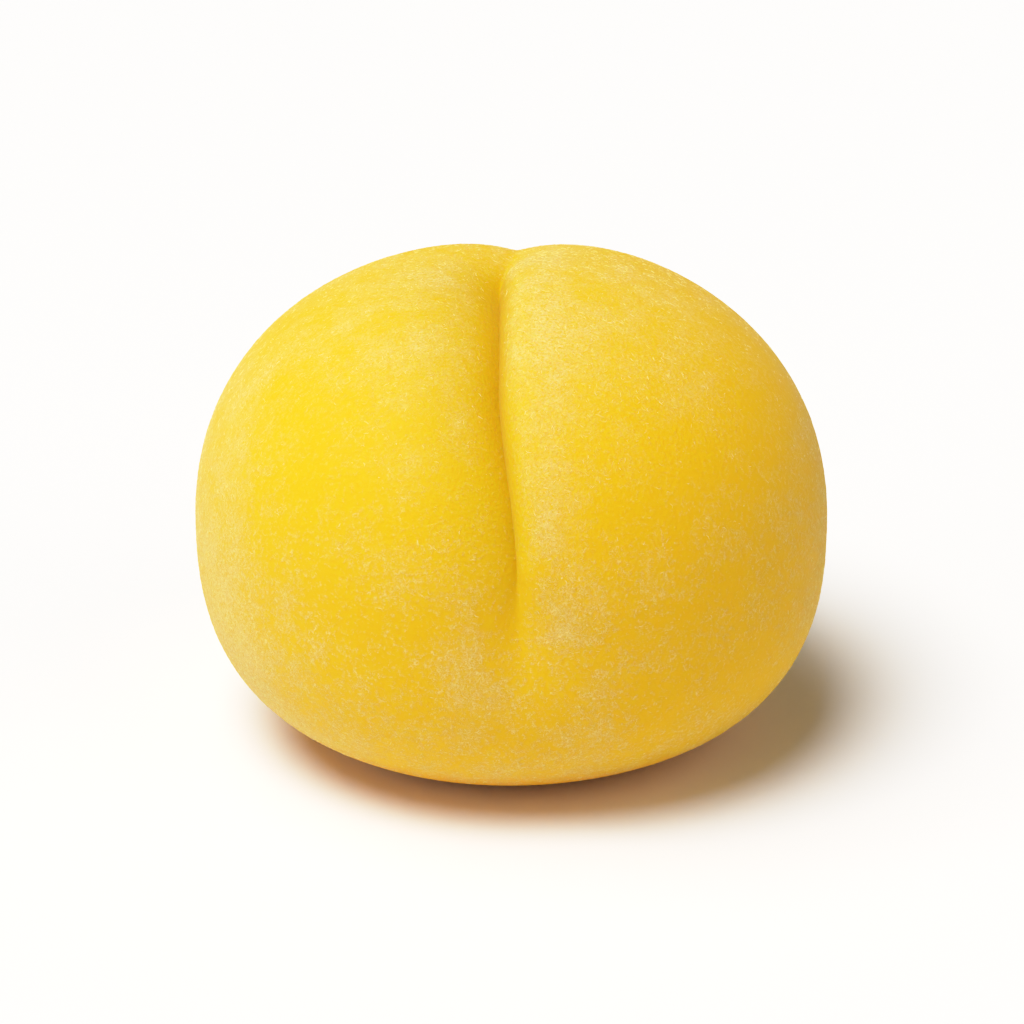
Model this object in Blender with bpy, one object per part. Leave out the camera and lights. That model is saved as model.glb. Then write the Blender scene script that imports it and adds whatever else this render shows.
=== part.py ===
"""A peach mochi: a soft round sweet of coloured rice dough, pressed into the form of a peach.

The whole sweet is one piece. It is wider than deep and deeper than high, it rests on the flat
foot that its own weight has pressed, and one crease runs from the low front over the top.
Metres, +Z up, with the origin on the floor under the middle. The crease faces -Y.
"""
import math

import bmesh
import bpy
from mathutils import Vector, noise

MM = 0.001

# Driving dimensions
WIDTH = 50 * MM
DEPTH = 48 * MM
HEIGHT = 38.6 * MM
WAIST = 0.449 * HEIGHT      # the level at which the sweet is widest

# Roundness of the plain body: 2 is an ellipse, and more is squarer
PLAN_POWER = 2.05
UPPER_POWER = 2.16
LOWER_POWER = 2.62
LOWER_REACH = 1.06 * WAIST  # past the floor, which leaves the flat foot

# The crease. Angles are in degrees round the X axis: 0 is straight ahead, 90 the top, 180 the back
CREASE_DEPTH = 3.6 * MM     # on the upper front
FOOT_DEPTH = 1.8 * MM       # on the low front
FOOT_RISE = (-32, 8)        # grows to the one between these angles
FRONT_RISE = (6, 48)        # and on to the other between these
CREASE_CREST = (84, 112)    # grows shallow between these, over the top
CREST_SHARE = 0.33          # of the depth is left there
CREASE_END = (116, 155)     # and runs out between these, at the back
WALL = 4.0 * MM             # how far the fold's walls reach
LIP_WIDTH = 0.7 * MM        # but the right wall has a steep lip
LIP_FOOT = (-12, 14)        # which comes between these angles
LIP_CREST = (86, 108)       # and goes between these, over the top
LIP_SHARE = 0.88            # of the depth is the lip's
FOOT_ROUNDING = 1.5 * MM    # of the fold's bottom at the low front
BACK_ROUNDING = 0.3 * MM    # and behind the top; between them it is sharp

# The crease's line bends to the left of the middle on the upper front
LINE_START = 0.52 * MM
LINE_BEND = -1.57 * MM
BEND_FOOT = (8, 51)         # it bends to the left between these angles
BEND_CREST = (90, 113)      # and comes back between these

# Unevenness of the hand-pressed dough
WAVE_HEIGHT = 0.12 * MM
WAVE_SCALE = 1.5            # waves for each body radius
WAVE_SEED = Vector((3.1, 7.4, 1.9))
FULL_CHEEK = Vector((0.80, -0.25, -0.55))   # the low right side is a little fuller
CHEEK_HEIGHT = 0.2 * MM
CHEEK_SPREAD = 0.35

# The mesh: rings stand across the X axis and lie closer near the crease
AROUND = 72
RINGS = 64
MIDDLE_CLOSENESS = 0.25
RING_FOLLOW = 0.35          # radians from the crease over which rings follow its line
SNAP = 0.1 * MM             # points this near the floor lie on it
RIM_STEP = 0.8 * MM         # points of the foot's rim this near each other are one
SMOOTH_ANGLE = math.radians(35)

DOUGH_COLOUR = (0.92, 0.60, 0.045, 1)
DOUGH_ROUGHNESS = 0.75


def clear_scene():
    for thing in list(bpy.data.objects):
        bpy.data.objects.remove(thing)


def rise(value, start, end):
    """0 before start and 1 after end, with a smooth slope between them."""
    share = min(max((value - start) / (end - start), 0), 1)
    return share * share * (3 - 2 * share)


def body_radius(direction):
    """From the middle of the waist to the plain body's surface."""
    upward = direction.z > 0
    power = UPPER_POWER if upward else LOWER_POWER
    reach = HEIGHT - WAIST if upward else LOWER_REACH
    across = abs(2 * direction.x / WIDTH) ** PLAN_POWER + abs(2 * direction.y / DEPTH) ** PLAN_POWER
    return (across ** (power / PLAN_POWER) + abs(direction.z / reach) ** power) ** (-1 / power)


def crease_angle(direction):
    """In degrees, from -90 under the sweet over 0 at the front to 270."""
    angle = math.degrees(math.atan2(direction.z, -direction.y))
    return angle + 360 if angle < -90 else angle


def crease_line(angle):
    """How far to the right of the middle the crease lies."""
    return LINE_START + LINE_BEND * rise(angle, *BEND_FOOT) * (1 - rise(angle, *BEND_CREST))


def crease_depth(offset, angle):
    """How deep the fold is, at an offset to the right of its line."""
    depth = FOOT_DEPTH * rise(angle, *FOOT_RISE) + (CREASE_DEPTH - FOOT_DEPTH) * rise(angle, *FRONT_RISE)
    crest = rise(angle, *CREASE_CREST)
    depth *= (1 - (1 - CREST_SHARE) * crest) * (1 - rise(angle, *CREASE_END))
    front = rise(angle, *LIP_FOOT)
    back = rise(angle, *LIP_CREST)
    rounding = FOOT_ROUNDING * (1 - front) + BACK_ROUNDING * back
    distance = math.hypot(offset, rounding) - rounding
    wall = math.exp(-distance / WALL)
    lip = math.exp(-distance / (WALL + (LIP_WIDTH - WALL) * front))
    share = LIP_SHARE * (1 - back)
    return depth * (share * lip + (1 - share) * wall if offset > 0 else wall)


def unevenness(direction):
    """How far the surface stands out from the plain body."""
    wave = WAVE_HEIGHT * noise.noise(WAVE_SCALE * direction + WAVE_SEED)
    distance = (direction - FULL_CHEEK.normalized()).length
    return wave + CHEEK_HEIGHT * math.exp(-(distance / CHEEK_SPREAD) ** 2)


def surface_point(direction):
    """The point of the sweet's surface in this direction from the middle of its waist."""
    point = direction * body_radius(direction)
    angle = crease_angle(direction)
    inward = crease_depth(point.x - crease_line(angle), angle) - unevenness(direction)
    return point - direction * inward + Vector((0, 0, WAIST))


def ring_direction(co):
    """Turns a point of the unit sphere into a direction, with its poles on the X axis."""
    share = 1 - 2 * math.acos(max(-1, min(1, co.z))) / math.pi
    tilt = math.pi / 2 * (MIDDLE_CLOSENESS * share + (1 - MIDDLE_CLOSENESS) * share ** 3)
    turn = math.atan2(co.y, co.x)
    section = Vector((0, -math.cos(turn), math.sin(turn)))
    shift = crease_line(crease_angle(section)) / body_radius(section)
    shift *= math.exp(-(tilt / RING_FOLLOW) ** 2)
    along = Vector((math.sin(tilt) + shift * math.cos(tilt), 0, 0))
    return (along + section * math.cos(tilt)).normalized()


def cut_foot(bm):
    """The floor's flat, with even steps round its rim, closed by one face."""
    everything = bm.verts[:] + bm.edges[:] + bm.faces[:]
    cut = bmesh.ops.bisect_plane(bm, geom=everything, dist=SNAP, plane_co=(0, 0, 0),
                                 plane_no=(0, 0, 1), clear_inner=True)
    rim_verts = [item for item in cut["geom_cut"] if isinstance(item, bmesh.types.BMVert)]
    for vert in rim_verts:
        vert.co.z = 0
    bmesh.ops.remove_doubles(bm, verts=rim_verts, dist=RIM_STEP)
    rim = [edge for edge in bm.edges if edge.is_boundary]
    bmesh.ops.edgeloop_fill(bm, edges=rim)
    bmesh.ops.recalc_face_normals(bm, faces=bm.faces[:])


def fit_size(bm):
    """Sets the finished form to its exact width, depth and height, centred over the origin."""
    for axis, size in enumerate((WIDTH, DEPTH, HEIGHT)):
        low = min(vert.co[axis] for vert in bm.verts)
        high = max(vert.co[axis] for vert in bm.verts)
        start = 0 if axis == 2 else -size / 2
        for vert in bm.verts:
            vert.co[axis] = start + (vert.co[axis] - low) * size / (high - low)


def dough_material():
    material = bpy.data.materials.new("dusted_dough")
    material.use_nodes = True
    shader = material.node_tree.nodes["Principled BSDF"]
    shader.inputs["Base Color"].default_value = DOUGH_COLOUR
    shader.inputs["Roughness"].default_value = DOUGH_ROUGHNESS
    shader.inputs["Metallic"].default_value = 0
    return material


def make_mochi():
    bm = bmesh.new()
    bmesh.ops.create_uvsphere(bm, u_segments=AROUND, v_segments=RINGS, radius=1)
    for vert in bm.verts:
        vert.co = surface_point(ring_direction(vert.co))
    cut_foot(bm)
    fit_size(bm)
    mesh = bpy.data.meshes.new("mochi")
    bm.to_mesh(mesh)
    bm.free()
    mesh.shade_smooth()
    mesh.set_sharp_from_angle(angle=SMOOTH_ANGLE)
    mesh.materials.append(dough_material())
    mochi = bpy.data.objects.new("mochi", mesh)
    bpy.context.scene.collection.objects.link(mochi)


clear_scene()
make_mochi()
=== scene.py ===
"""The looks of the peach mochi: its dusted dough, the loose starch on it, a pale floor and soft light.

Metres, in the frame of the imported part. The crease faces -Y, and the floor is at z = 0.
"""

import math

import bmesh
import bpy
import numpy as np
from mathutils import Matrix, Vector, noise


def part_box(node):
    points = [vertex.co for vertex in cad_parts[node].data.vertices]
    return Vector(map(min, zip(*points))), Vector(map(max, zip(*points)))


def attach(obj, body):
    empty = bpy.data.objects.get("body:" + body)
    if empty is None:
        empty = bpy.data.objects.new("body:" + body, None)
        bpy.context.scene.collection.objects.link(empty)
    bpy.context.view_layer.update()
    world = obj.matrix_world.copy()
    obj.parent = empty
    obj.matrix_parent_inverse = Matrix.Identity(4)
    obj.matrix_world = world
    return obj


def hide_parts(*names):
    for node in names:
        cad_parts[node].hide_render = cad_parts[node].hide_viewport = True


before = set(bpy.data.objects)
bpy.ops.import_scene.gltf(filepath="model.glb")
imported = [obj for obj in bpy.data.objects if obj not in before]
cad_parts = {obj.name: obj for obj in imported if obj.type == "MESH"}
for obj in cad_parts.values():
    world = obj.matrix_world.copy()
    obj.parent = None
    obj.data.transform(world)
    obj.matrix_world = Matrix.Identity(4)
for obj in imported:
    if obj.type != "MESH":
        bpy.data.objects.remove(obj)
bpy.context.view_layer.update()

MM = 0.001

# Sizes of the solid that the dough replaces
LOW_CORNER, HIGH_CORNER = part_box("mochi")
WIDTH, DEPTH, HEIGHT = HIGH_CORNER - LOW_CORNER
WAIST = 0.449 * HEIGHT      # the level at which the sweet is widest

# Roundness of the plain body: 2 is an ellipse, and more is squarer
PLAN_POWER = 2.05
UPPER_POWER = 2.16
LOWER_POWER = 2.62
LOWER_REACH = 1.06 * WAIST  # past the floor, which leaves the flat foot

# The crease. Angles are in degrees round the X axis: 0 is straight ahead, 90 the top, 180 the back
CREASE_DEPTH = 3.6 * MM     # on the upper front
FOOT_DEPTH = 1.8 * MM       # on the low front
FOOT_RISE = (-32, 8)        # grows to the one between these angles
FRONT_RISE = (6, 48)        # and on to the other between these
CREASE_CREST = (84, 112)    # grows shallow between these, over the top
CREST_SHARE = 0.33          # of the depth is left there
CREASE_END = (116, 155)     # and runs out between these, at the back
WALL = 4.0 * MM             # how far the fold's walls reach
LIP_WIDTH = 0.7 * MM        # but the right wall has a steep lip
LIP_FOOT = (-12, 14)        # which comes between these angles
LIP_CREST = (86, 108)       # and goes between these, over the top
LIP_SHARE = 0.88            # of the depth is the lip's
FOOT_ROUNDING = 1.5 * MM    # of the fold's bottom at the low front
BACK_ROUNDING = 0.3 * MM    # and behind the top; between them it is sharp

# The crease's line bends to the left of the middle on the upper front
LINE_START = 0.52 * MM
LINE_BEND = -1.57 * MM
BEND_FOOT = (8, 51)         # it bends to the left between these angles
BEND_CREST = (90, 113)      # and comes back between these

# Colour, painted shade and starch beside the crease
BARE_FOOT = (-10, 6)        # the fold is bare of starch from between these angles
SHADE_FOOT = (-4, 22)       # its deeper colour and painted shade come between these
SHADE_CREST = (90, 110)     # and both go between these
SHADE_LEFT = 5.0 * MM       # how far the fold's deeper colour and painted shade reach
SHADE_RIGHT = 1.8 * MM
SHADE_POWER = 1.5           # how it falls off: 1 is a cusp at the bottom, and 2 is a bell
BARE_LEFT = 1.7 * MM        # how far no starch lies
BARE_RIGHT = 0.7 * MM

# Heights over which the underside's redder colour, partly painted glow, goes and the starch comes
UNDERSIDE = (1.6 * MM, 5.0 * MM)
STARCH_FOOT = (1.6 * MM, 3.4 * MM)

# How thick the starch lies: 0 is none, and 1 the most
THIN_STARCH = 0.22          # all over

# More of it towards the rims, partly thicker starch and partly painted sheen of the powder seen edge-on:
# thickness, where it starts and where it is full
TOP_STARCH_AND_SHEEN = (0.42, 0.6, 1.1)       # in waist heights above the waist
LOW_STARCH_AND_SHEEN = (0.3, 0.4, 0.95)       # and below it
LEFT_STARCH_AND_SHEEN = (0.55, 0.6, 0.95)     # in half widths from the middle
RIGHT_STARCH_AND_SHEEN = (0.35, 0.75, 1.0)

# More along both sides of the fold: thickness, offset from its line and half width
SHOULDERS = ((0.3, 3.5 * MM, 2.6 * MM), (0.1, -5 * MM, 3 * MM))

# A patch of thick starch on the low left side
LOW_LEFT_PATCH = np.array((-18.5, -14, 8)) * MM
PATCH_SPREAD = 8 * MM
PATCH_THICKNESS = 0.55

# Patches beside the fold's low end: offset from its line and half width, angle and half height,
# and thickness
FOLD_PATCHES = (
    (0.0 * MM, 6.0 * MM, -16, 14, 0.2),
    (-3.8 * MM, 2.0 * MM, -4, 16, 0.15),
    (2.2 * MM, 1.6 * MM, 16, 12, 0.25),
    (6.5 * MM, 4.0 * MM, 3, 12, 0.15),
)

# Clouds in the starch: how wide, how strong, and which draw of the noise
CLOUDS = ((5.0 * MM, 0.25, 1.3), (2.2 * MM, 0.22, 4.1), (1.0 * MM, 0.25, 8.6))

# Loose starch that stands on the dough. More crowding keeps the grains closer to the thick starch
STRANDS = 10000
STRAND_CROWDING = 2.0
STRAND_STATIONS = 5
STRAND_STEP = (0.07 * MM, 0.16 * MM)
STRAND_BEND = 0.6           # radians at a station, the same way all along
STRAND_KINK = 0.35          # and either way
STRAND_HALF_WIDTH = (0.016 * MM, 0.034 * MM)
STRAND_RIDGE = 0.9          # half widths that the ridge stands up
STRAND_SINK = 0.01 * MM     # how deep its sides lie in the dough
STRAND_WHITENESS = (0, 0.9)
LUMPS = 2000
LUMP_CROWDING = 1.2
LUMP_RADIUS = (0.02 * MM, 0.05 * MM)
LUMP_UNEVENNESS = (0.8, 1.2)
LUMP_STRETCH = (0.8, 1.6)
LUMP_FLATNESS = 0.6
LUMP_WHITENESS = (0, 0.8)
FOOT_CLEARANCE = 0.3 * MM   # no grain sits lower

# Unevenness of the hand-pressed dough
WAVE_HEIGHT = 0.12 * MM
WAVE_SCALE = 1.5            # waves for each body radius
WAVE_SEED = Vector((3.1, 7.4, 1.9))
FULL_CHEEK = Vector((0.80, -0.25, -0.55))   # the low right side is a little fuller
CHEEK_HEIGHT = 0.2 * MM
CHEEK_SPREAD = 0.35

# The dough's mesh: rings stand across the X axis and lie closer near the crease
AROUND = 400
RINGS = 240
MIDDLE_CLOSENESS = 0.2
RING_FOLLOW = 0.35          # radians from the crease over which rings follow its line
SNAP = 0.01 * MM            # points this near the floor lie on it
FOLD_ANGLE = math.radians(40)   # the dough is smooth but for the fold's bottom and the foot's rim


def rise(value, start, end):
    """0 before start and 1 after end, with a smooth slope between them."""
    share = np.clip((value - start) / (end - start), 0, 1)
    return share * share * (3 - 2 * share)


def bell(value, middle, spread):
    return np.exp(-((value - middle) / spread) ** 2)


def noise_at(points, size, seed):
    """Smooth noise from -1 to 1, with spots about this wide."""
    places = points / size + seed * np.array((1, 2, 3))
    return np.array([noise.noise(place) for place in places.tolist()])


# Form of the dough

def body_radius(direction):
    """From the middle of the waist to the plain body's surface."""
    x, y, z = np.abs(direction).T
    upward = direction[:, 2] > 0
    power = np.where(upward, UPPER_POWER, LOWER_POWER)
    reach = np.where(upward, HEIGHT - WAIST, LOWER_REACH)
    across = (2 * x / WIDTH) ** PLAN_POWER + (2 * y / DEPTH) ** PLAN_POWER
    return (across ** (power / PLAN_POWER) + (z / reach) ** power) ** (-1 / power)


def crease_angle(direction):
    """In degrees, from -90 under the sweet over 0 at the front to 270."""
    angle = np.degrees(np.arctan2(direction[:, 2], -direction[:, 1]))
    return np.where(angle < -90, angle + 360, angle)


def crease_line(angle):
    """How far to the right of the middle the crease lies."""
    return LINE_START + LINE_BEND * rise(angle, *BEND_FOOT) * (1 - rise(angle, *BEND_CREST))


def crease_depth(offset, angle):
    """How deep the fold is, at an offset to the right of its line."""
    depth = FOOT_DEPTH * rise(angle, *FOOT_RISE) + (CREASE_DEPTH - FOOT_DEPTH) * rise(angle, *FRONT_RISE)
    crest = rise(angle, *CREASE_CREST)
    depth *= (1 - (1 - CREST_SHARE) * crest) * (1 - rise(angle, *CREASE_END))
    front = rise(angle, *LIP_FOOT)
    back = rise(angle, *LIP_CREST)
    rounding = FOOT_ROUNDING * (1 - front) + BACK_ROUNDING * back
    distance = np.hypot(offset, rounding) - rounding
    wall = np.exp(-distance / WALL)
    lip = np.exp(-distance / (WALL + (LIP_WIDTH - WALL) * front))
    share = LIP_SHARE * (1 - back)
    return depth * np.where(offset > 0, share * lip + (1 - share) * wall, wall)


def unevenness(direction):
    """How far the surface stands out from the plain body."""
    wave = np.array([noise.noise(WAVE_SCALE * Vector(d) + WAVE_SEED) for d in direction])
    distance = np.linalg.norm(direction - np.array(FULL_CHEEK.normalized()), axis=1)
    return WAVE_HEIGHT * wave + CHEEK_HEIGHT * bell(distance, 0, CHEEK_SPREAD)


def surface_points(direction):
    """The points of the sweet's surface in these directions from the middle of its waist."""
    point = direction * body_radius(direction)[:, None]
    angle = crease_angle(direction)
    inward = crease_depth(point[:, 0] - crease_line(angle), angle) - unevenness(direction)
    return point - direction * inward[:, None] + np.array((0, 0, WAIST))


def mesh_points(mesh):
    points = np.empty(3 * len(mesh.vertices))
    mesh.vertices.foreach_get("co", points)
    return points.reshape(-1, 3)


def crease_place(points):
    """The offset to the right of the crease's line, and the angle round the X axis."""
    angle = crease_angle(points - np.array((0, 0, WAIST)))
    return points[:, 0] - crease_line(angle), angle


def open_fold(angle, foot):
    """1 along the front of the fold and 0 beyond its ends. The low end lies between the foot's angles."""
    return rise(angle, *foot) * (1 - rise(angle, *SHADE_CREST))


def fold_colour_and_painted_shade(points):
    """How deep the dough's colour is, with painted shade in the fold: most at the fold's bottom, where no
    starch lies.
    """
    offset, angle = crease_place(points)
    reach = np.where(offset > 0, SHADE_RIGHT, SHADE_LEFT)
    return open_fold(angle, SHADE_FOOT) * np.exp(-np.abs(offset / reach) ** SHADE_POWER)


def dusting(points):
    """How thick the starch lies: most round the rims and beside the fold, and none in it. Round the rims it
    is partly painted sheen.
    """
    offset, angle = crease_place(points)
    x = 2 * points[:, 0] / WIDTH
    z = (points[:, 2] - WAIST) / WAIST
    along = open_fold(angle, BARE_FOOT)
    amount = np.full(len(points), THIN_STARCH)
    for outward, rim in ((z, TOP_STARCH_AND_SHEEN), (-z, LOW_STARCH_AND_SHEEN), (-x, LEFT_STARCH_AND_SHEEN), (x, RIGHT_STARCH_AND_SHEEN)):
        thickness, start, full = rim
        amount += thickness * rise(outward, start, full)
    amount += PATCH_THICKNESS * bell(np.linalg.norm(points - LOW_LEFT_PATCH, axis=1), 0, PATCH_SPREAD)
    amount += along * sum(thickness * bell(offset, middle, width) for thickness, middle, width in SHOULDERS)
    for middle, half_width, level, half_height, thickness in FOLD_PATCHES:
        amount += thickness * bell(offset, middle, half_width) * bell(angle, level, half_height)
    for size, height, seed in CLOUDS:
        amount += height * noise_at(points, size, seed)
    bare = bell(np.where(offset > 0, offset / BARE_RIGHT, offset / BARE_LEFT), 0, 1)
    return np.clip(amount * (1 - along * bare), 0, 1) * rise(points[:, 2], *STARCH_FOOT)


def add_attribute(mesh, name, values):
    attribute = mesh.attributes.new(name, "FLOAT", "POINT")
    attribute.data.foreach_set("value", values.astype(np.float32))


def ring_directions():
    """Directions on rings round the X axis, from the left pole to the right one."""
    share = np.linspace(-1, 1, RINGS + 1)[1:-1]
    tilt = math.pi / 2 * (MIDDLE_CLOSENESS * share + (1 - MIDDLE_CLOSENESS) * share ** 3)
    turn = np.arange(AROUND) * 2 * math.pi / AROUND
    tilt = np.repeat(tilt, AROUND)
    turn = np.tile(turn, RINGS - 1)
    section = np.stack([np.zeros_like(turn), -np.cos(turn), np.sin(turn)], axis=1)
    shift = crease_line(crease_angle(section)) / body_radius(section)
    shift *= bell(tilt, 0, RING_FOLLOW)
    direction = section * np.cos(tilt)[:, None]
    direction[:, 0] = np.sin(tilt) + shift * np.cos(tilt)
    direction /= np.linalg.norm(direction, axis=1)[:, None]
    return np.concatenate([[(-1, 0, 0)], direction, [(1, 0, 0)]])


def ring_faces():
    """Quads between the rings, and a fan of triangles at each pole."""
    last = 1 + AROUND * (RINGS - 1)
    step = np.arange(AROUND)
    beside = (step + 1) % AROUND
    faces = [(0, 1 + a, 1 + b) for a, b in zip(step, beside)]
    for ring in range(RINGS - 2):
        near = 1 + ring * AROUND
        far = near + AROUND
        faces += [(near + a, far + a, far + b, near + b) for a, b in zip(step, beside)]
    near = last - AROUND
    faces += [(near + b, near + a, last) for a, b in zip(step, beside)]
    return faces


def cut_foot(mesh):
    """The floor's flat, closed by one face."""
    bm = bmesh.new()
    bm.from_mesh(mesh)
    everything = bm.verts[:] + bm.edges[:] + bm.faces[:]
    bmesh.ops.bisect_plane(bm, geom=everything, dist=SNAP, plane_co=(0, 0, 0),
                           plane_no=(0, 0, 1), clear_inner=True)
    for vert in bm.verts:
        vert.co.z = max(vert.co.z, 0)
    rim = [edge for edge in bm.edges if edge.is_boundary]
    bmesh.ops.edgeloop_fill(bm, edges=rim)
    bmesh.ops.recalc_face_normals(bm, faces=bm.faces[:])
    bm.to_mesh(mesh)
    bm.free()


def fit_size(points):
    """Sets the finished form to the solid's exact box."""
    low, high = points.min(axis=0), points.max(axis=0)
    low[2] = 0
    size = np.array(HIGH_CORNER - LOW_CORNER)
    return np.array(LOW_CORNER) + (points - low) * size / (high - low)


def make_dough():
    points = fit_size(surface_points(ring_directions()))
    mesh = bpy.data.meshes.new("dough")
    mesh.from_pydata(points.tolist(), [], ring_faces())
    cut_foot(mesh)
    mesh.shade_smooth()
    mesh.set_sharp_from_angle(angle=FOLD_ANGLE)
    points = mesh_points(mesh)
    add_attribute(mesh, "dusting", dusting(points))
    # The fold's deeper colour, partly painted shade in the crease
    add_attribute(mesh, "fold", fold_colour_and_painted_shade(points))
    # The underside's colour is partly unstarched dough and partly painted glow of light through the dough
    add_attribute(mesh, "underside", 1 - rise(points[:, 2], *UNDERSIDE))
    dough = bpy.data.objects.new("dough", mesh)
    bpy.context.scene.collection.objects.link(dough)
    return dough


# Loose starch

def scatter(mesh, count, crowding, random):
    """Random places on the dough with their outward normals, most where the starch lies thickest."""
    mesh.calc_loop_triangles()
    corners = np.empty(3 * len(mesh.loop_triangles), np.int32)
    mesh.loop_triangles.foreach_get("vertices", corners)
    corners = corners.reshape(-1, 3)
    points = mesh_points(mesh)[corners]
    amount = np.empty(len(mesh.vertices), np.float32)
    mesh.attributes["dusting"].data.foreach_get("value", amount)
    across = np.cross(points[:, 1] - points[:, 0], points[:, 2] - points[:, 0])
    area = np.linalg.norm(across, axis=1)
    weight = area * amount[corners].mean(axis=1) ** crowding
    weight[points[:, :, 2].min(axis=1) < FOOT_CLEARANCE] = 0
    chosen = random.choice(len(corners), count, p=weight / weight.sum())
    share = random.uniform(size=(count, 2))
    share = np.where(share.sum(axis=1, keepdims=True) > 1, 1 - share, share)
    first, second, third = points[chosen].transpose(1, 0, 2)
    places = first + share[:, :1] * (second - first) + share[:, 1:] * (third - first)
    return places, across[chosen] / area[chosen, None]


def tangents(normals):
    """Two directions along the surface for each normal."""
    upward = np.where(np.abs(normals[:, 2:]) > 0.9, (1.0, 0, 0), (0, 0, 1.0))
    along = np.cross(upward, normals)
    along /= np.linalg.norm(along, axis=1)[:, None]
    return along, np.cross(normals, along)


def copies_of(faces, count, size):
    """The faces of one grain, repeated for as many grains of this many points."""
    return [tuple(size * copy + corner for corner in face) for copy in range(count) for face in faces]


def add_starch(name, points, faces, whiteness):
    """One piece from all grains of a kind. The points come as grains, points and axes."""
    count, size = points.shape[:2]
    mesh = bpy.data.meshes.new(name)
    mesh.from_pydata(points.reshape(-1, 3).tolist(), [], copies_of(faces, count, size))
    mesh.shade_smooth()
    add_attribute(mesh, "whiteness", np.repeat(whiteness, size))
    piece = bpy.data.objects.new(name, mesh)
    bpy.context.scene.collection.objects.link(piece)
    return piece


def make_strands(dough):
    """Short bent ridges: a tip, three stations of left, top and right points, and a tip."""
    random = np.random.RandomState(5)
    places, normals = scatter(dough.data, STRANDS, STRAND_CROWDING, random)
    along, beside = tangents(normals)
    one_each = (STRANDS, 1)
    start = random.uniform(0, 2 * math.pi, one_each)
    turn = start + random.normal(0, STRAND_BEND, one_each) * np.arange(STRAND_STATIONS)
    turn += random.normal(0, STRAND_KINK, (STRANDS, STRAND_STATIONS))
    step = random.uniform(*STRAND_STEP, one_each)[:, :, None]
    path = np.cumsum(np.stack([np.cos(turn), np.sin(turn)], axis=2) * step, axis=1)
    path -= path.mean(axis=1, keepdims=True)
    half = random.uniform(*STRAND_HALF_WIDTH, one_each) * np.sin(np.linspace(0, math.pi, STRAND_STATIONS))
    side = np.stack([-np.sin(turn), np.cos(turn)], axis=2) * half[:, :, None]

    def lift(flat, height):
        """Points of the flat path, set on the dough's surface."""
        flat = flat[:, :, :, None]
        level = flat[:, :, 0] * along[:, None] + flat[:, :, 1] * beside[:, None]
        return places[:, None] + (level + height * normals[:, None])

    sunk = np.full((STRANDS, STRAND_STATIONS, 1), -STRAND_SINK)
    left, right = lift(path + side, sunk), lift(path - side, sunk)
    top = lift(path, STRAND_RIDGE * half[:, :, None])
    middle = np.stack([left, top, right], axis=2)[:, 1:-1].reshape(STRANDS, -1, 3)
    points = np.concatenate([left[:, :1], middle, left[:, -1:]], axis=1)

    # Triangles at both tips, and quads between the stations
    faces = [(0, 2, 1), (0, 3, 2), (0, 1, 3), (7, 8, 10), (8, 9, 10), (9, 7, 10)]
    for near in (1, 4):
        for a, b in ((0, 1), (1, 2), (2, 0)):
            faces.append((near + a, near + b, near + 3 + b, near + 3 + a))
    return add_starch("starch_strands", points, faces, random.uniform(*STRAND_WHITENESS, STRANDS))


def make_lumps(dough):
    """Small uneven grains, half sunk in the dough."""
    random = np.random.RandomState(8)
    bm = bmesh.new()
    bmesh.ops.create_icosphere(bm, subdivisions=1, radius=1)
    ball = np.array([vert.co for vert in bm.verts])
    faces = [tuple(vert.index for vert in face.verts) for face in bm.faces]
    bm.free()
    places, normals = scatter(dough.data, LUMPS, LUMP_CROWDING, random)
    along, beside = tangents(normals)
    size = np.exp(random.uniform(*np.log(LUMP_RADIUS), (LUMPS, 1, 1)))
    uneven = random.uniform(*LUMP_UNEVENNESS, (LUMPS, len(ball), 1))
    grain = ball * size * uneven * (1, 1, LUMP_FLATNESS)
    grain[:, :, 0] *= random.uniform(*LUMP_STRETCH, (LUMPS, 1))
    turn = random.uniform(0, 2 * math.pi, (LUMPS, 1))
    x = grain[:, :, 0] * np.cos(turn) - grain[:, :, 1] * np.sin(turn)
    y = grain[:, :, 0] * np.sin(turn) + grain[:, :, 1] * np.cos(turn)
    axes = (x, along), (y, beside), (grain[:, :, 2], normals)
    points = places[:, None] + sum(amount[:, :, None] * axis[:, None] for amount, axis in axes)
    return add_starch("starch_lumps", points, faces, random.uniform(*LUMP_WHITENESS, LUMPS))


# Materials

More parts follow.
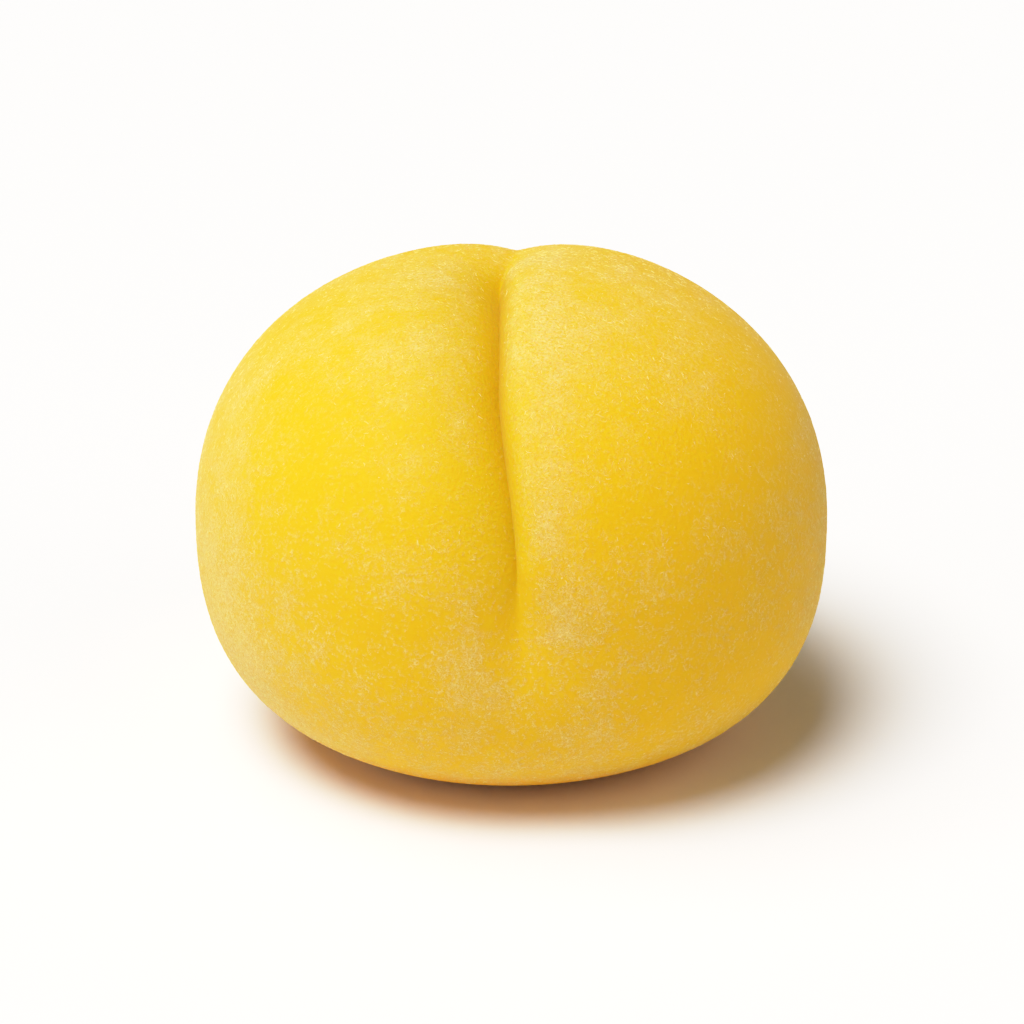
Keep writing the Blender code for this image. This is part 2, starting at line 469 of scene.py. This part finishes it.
class Nodes:
    """Adds and links the nodes of one material."""

    def __init__(self, name):
        self.material = bpy.data.materials.new(name)
        self.material.use_nodes = True
        self.tree = self.material.node_tree
        self.shader = self.tree.nodes["Principled BSDF"]
        self.place = None

    def add(self, kind, inputs=(), **settings):
        """A node. Its inputs are given by name or number, as values or as outputs of other nodes."""
        node = self.tree.nodes.new("ShaderNode" + kind)
        for name, value in settings.items():
            setattr(node, name, value)
        for name, value in dict(inputs).items():
            self.feed(node.inputs[name], value)
        return node

    def feed(self, socket, value):
        if isinstance(value, bpy.types.NodeSocket):
            self.tree.links.new(value, socket)
        else:
            socket.default_value = value

    def millimetres(self):
        """The surface's place, in millimetres."""
        if self.place is None:
            coordinates = self.add("TexCoord").outputs["Object"]
            scale = self.add("VectorMath", {0: coordinates, "Scale": 1 / MM}, operation="SCALE")
            self.place = scale.outputs[0]
        return self.place

    def attribute(self, name):
        return self.add("Attribute", attribute_name=name).outputs["Fac"]

    def noise(self, size, detail=2.0, distortion=0.0, shift=0.0):
        """Smooth noise from 0 to 1 with spots about this many millimetres wide."""
        place = self.add("VectorMath", {0: self.millimetres(), 1: (shift, shift, shift)}).outputs[0]
        inputs = {"Vector": place, "Scale": 1 / size, "Detail": detail, "Distortion": distortion}
        return self.add("TexNoise", inputs).outputs["Fac"]

    def math(self, operation, *values):
        return self.add("Math", enumerate(values), operation=operation).outputs[0]

    def remap(self, value, start, end, low=0.0, high=1.0):
        """Low below start and high above end, with a smooth slope between them."""
        inputs = {"Value": value, "From Min": start, "From Max": end, "To Min": low, "To Max": high}
        return self.add("MapRange", inputs, interpolation_type="SMOOTHSTEP").outputs["Result"]

    def mix(self, share, first, second):
        """A colour between two."""
        node = self.add("Mix", data_type="RGBA")
        for number, value in ((0, share), (6, first), (7, second)):
            self.feed(node.inputs[number], value)
        return node.outputs[2]


BARE_DOUGH = (0.80, 0.455, 0.003, 1)
# Deeper bare dough in the fold, darkened further as painted shade
FOLD_DOUGH_AND_PAINTED_SHADE = (0.65, 0.405, 0.002, 1)
# Unstarched underside, made redder and brighter as a painted glow of light through the dough
UNDERSIDE_DOUGH_AND_GLOW = (0.95, 0.40, 0.004, 1)
HAZE = (0.92, 0.81, 0.50, 1)
GRAIN = (1.0, 0.78, 0.30, 1)
DULL_GRAIN = (0.92, 0.60, 0.08, 1)
WHITE_GRAIN = (1.0, 0.86, 0.40, 1)
HAZE_SHARE = 0.32           # the most that haze hides of the dough
GRAIN_AND_HIGHLIGHT_SHARES = (0.7, 0.25)  # the most that grains hide, on the low half and at the top; the low half's more is partly painted highlight
GRAIN_HEIGHTS = (15, 31)    # millimetres between which that changes


def starch_cover(nodes):
    """How much of the dough the starch hides, as haze and as webs and specks of grains."""
    clouds = nodes.attribute("dusting")
    fine = nodes.remap(nodes.noise(0.2, shift=5), 0.3, 0.7, 0.0, HAZE_SHARE)
    haze = nodes.math("MULTIPLY", nodes.math("POWER", clouds, 3), fine)

    # Webs are the narrow bands where a warped noise crosses its middle value, broken into short strokes
    warped = nodes.noise(0.24, detail=1.0, distortion=1.5, shift=11)
    crossing = nodes.math("ABSOLUTE", nodes.math("SUBTRACT", warped, 0.5))
    strokes = nodes.remap(crossing, 0.02, 0.1, 1.0, 0.0)
    breaks = nodes.math("ADD", nodes.noise(0.35, shift=23), nodes.math("MULTIPLY", clouds, 0.4))
    webs = nodes.math("MULTIPLY", strokes, nodes.remap(breaks, 0.52, 0.88))

    # Specks are round spots in the middles of a few cells, and of more cells where the clouds are thick
    cells = nodes.add("TexVoronoi", {"Vector": nodes.millimetres(), "Scale": 1 / 0.75})
    spots = nodes.remap(cells.outputs["Distance"], 0.05, 0.15, 1.0, 0.0)
    chance = nodes.add("SeparateColor", {0: cells.outputs["Color"]}).outputs[0]
    chosen = nodes.remap(nodes.math("ADD", chance, nodes.math("MULTIPLY", clouds, 0.35)), 0.93, 1.0)
    specks = nodes.math("MULTIPLY", spots, chosen)

    # More grain cover on the low half is partly painted highlight, where low light grazes raised grains
    height = nodes.add("SeparateXYZ", {0: nodes.millimetres()}).outputs["Z"]
    share = nodes.remap(height, *GRAIN_HEIGHTS, *GRAIN_AND_HIGHLIGHT_SHARES)
    grains = nodes.math("MULTIPLY", nodes.math("MAXIMUM", webs, specks), share)
    return haze, grains


def dough_material():
    nodes = Nodes("dusted_dough")
    shader = nodes.shader
    haze, grains = starch_cover(nodes)
    # The fold's colour is partly deeper bare dough and partly painted shade in the crease
    dough_colour = nodes.mix(nodes.attribute("fold"), BARE_DOUGH, FOLD_DOUGH_AND_PAINTED_SHADE)
    # The underside's colour is partly painted glow of light through the dough
    dough_colour = nodes.mix(nodes.attribute("underside"), dough_colour, UNDERSIDE_DOUGH_AND_GLOW)
    dusted = nodes.mix(haze, dough_colour, HAZE)
    nodes.feed(shader.inputs["Base Color"], nodes.mix(grains, dusted, GRAIN))
    nodes.feed(shader.inputs["Roughness"], nodes.remap(grains, 0.0, 0.4, 0.65, 0.9))

    relief = nodes.math("MULTIPLY", nodes.noise(0.28), 0.08)
    height = nodes.math("ADD", nodes.math("MULTIPLY", grains, 0.1), relief)
    bump = nodes.add("Bump", {"Height": height, "Distance": MM, "Strength": 0.8})
    nodes.feed(shader.inputs["Normal"], bump.outputs["Normal"])
    shader.inputs["Subsurface Weight"].default_value = 0.25
    shader.inputs["Subsurface Radius"].default_value = (1.0, 0.2, 0.05)
    shader.inputs["Subsurface Scale"].default_value = 3 * MM
    shader.inputs["Specular IOR Level"].default_value = 0.1
    shader.inputs["Sheen Weight"].default_value = 0.03
    shader.inputs["Sheen Roughness"].default_value = 0.5
    return nodes.material


def starch_material():
    nodes = Nodes("loose_starch")
    shader = nodes.shader
    colour = nodes.mix(nodes.attribute("whiteness"), DULL_GRAIN, WHITE_GRAIN)
    nodes.feed(shader.inputs["Base Color"], colour)
    shader.inputs["Roughness"].default_value = 0.85
    shader.inputs["Specular IOR Level"].default_value = 0.2
    return nodes.material


def floor_material():
    material = bpy.data.materials.new("pale_floor")
    material.use_nodes = True
    shader = material.node_tree.nodes["Principled BSDF"]
    shader.inputs["Base Color"].default_value = FLOOR_COLOUR
    shader.inputs["Roughness"].default_value = 0.8
    shader.inputs["Specular IOR Level"].default_value = 0.1
    return material


# Stage, light and camera

FLOOR_SIZE = 6
FLOOR_COLOUR = (0.90, 0.892, 0.888, 1)
FILM_WHITE = 1.3            # the light that shows as full white
FILM_CURVE = ((0.35, 0.35), (0.65, 0.65), (0.8, 0.775), (0.95, 0.865), (1.1, 0.93))
CAMERA_ELEVATION = math.radians(23)
CAMERA_DISTANCE = 0.27
CAMERA_LENS = 119.3
AIM = Vector((0.07 * MM, 0, 17.5 * MM))


def make_floor():
    mesh = bpy.data.meshes.new("floor")
    half = FLOOR_SIZE / 2
    corners = [(-half, -half, 0), (half, -half, 0), (half, half, 0), (-half, half, 0)]
    mesh.from_pydata(corners, [], [(0, 1, 2, 3)])
    mesh.materials.append(floor_material())
    floor = bpy.data.objects.new("floor", mesh)
    bpy.context.scene.collection.objects.link(floor)


def add_sun(name, azimuth, elevation, strength, spread, colour):
    """Even light of one colour from one side.

    The angles are in degrees: azimuth 0 is the front and 90 the right, and more spread softens shadows.
    """
    azimuth, elevation = math.radians(azimuth), math.radians(elevation)
    towards = Vector((math.sin(azimuth), -math.cos(azimuth), math.tan(elevation)))
    light = bpy.data.lights.new(name, "SUN")
    light.energy = strength
    light.color = colour
    light.angle = math.radians(spread)
    sun = bpy.data.objects.new(name, light)
    sun.rotation_euler = towards.to_track_quat("Z", "Y").to_euler()
    bpy.context.scene.collection.objects.link(sun)


def make_light():
    """A wide window at the upper left front, with weaker light from the ceiling and both walls."""
    add_sun("window", -47, 65, 2.86, 34, (0.97, 1.0, 1.05))
    add_sun("ceiling", -100, 69, 1.46, 45, (1, 0.95, 0.85))
    add_sun("right_wall", 62, 35, 0.65, 45, (1, 0.84, 0.60))
    add_sun("left_wall", -68, 8, 0.95, 60, (1, 0.98, 0.9))
    world = bpy.data.worlds.new("studio")
    world.use_nodes = True
    background = world.node_tree.nodes["Background"]
    background.inputs["Color"].default_value = (1, 1, 1, 1)
    background.inputs["Strength"].default_value = 0.03
    bpy.context.scene.world = world


def make_film():
    """The camera's film: true to the light in the lower tones, and softer towards white."""
    view = bpy.context.scene.view_settings
    view.view_transform = "Standard"
    view.use_curve_mapping = True
    view.curve_mapping.white_level = (FILM_WHITE,) * 3
    points = view.curve_mapping.curves[3].points
    for light, shown in FILM_CURVE:
        points.new(light / FILM_WHITE, shown)
    view.curve_mapping.update()


def make_camera():
    camera = bpy.data.objects.new("camera", bpy.data.cameras.new("camera"))
    camera.data.lens = CAMERA_LENS
    camera.data.clip_start = 0.01
    back = Vector((0, -math.cos(CAMERA_ELEVATION), math.sin(CAMERA_ELEVATION)))
    camera.location = AIM + back * CAMERA_DISTANCE
    camera.rotation_euler = (math.pi / 2 - CAMERA_ELEVATION, 0, 0)
    bpy.context.scene.collection.objects.link(camera)
    bpy.context.scene.camera = camera


make_camera()
dough = make_dough()
dough.data.materials.append(dough_material())
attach(dough, "root")
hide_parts("mochi")
starch = starch_material()
for piece in (make_strands(dough), make_lumps(dough)):
    piece.data.materials.append(starch)
    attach(piece, "root")
make_floor()
make_light()
make_film()
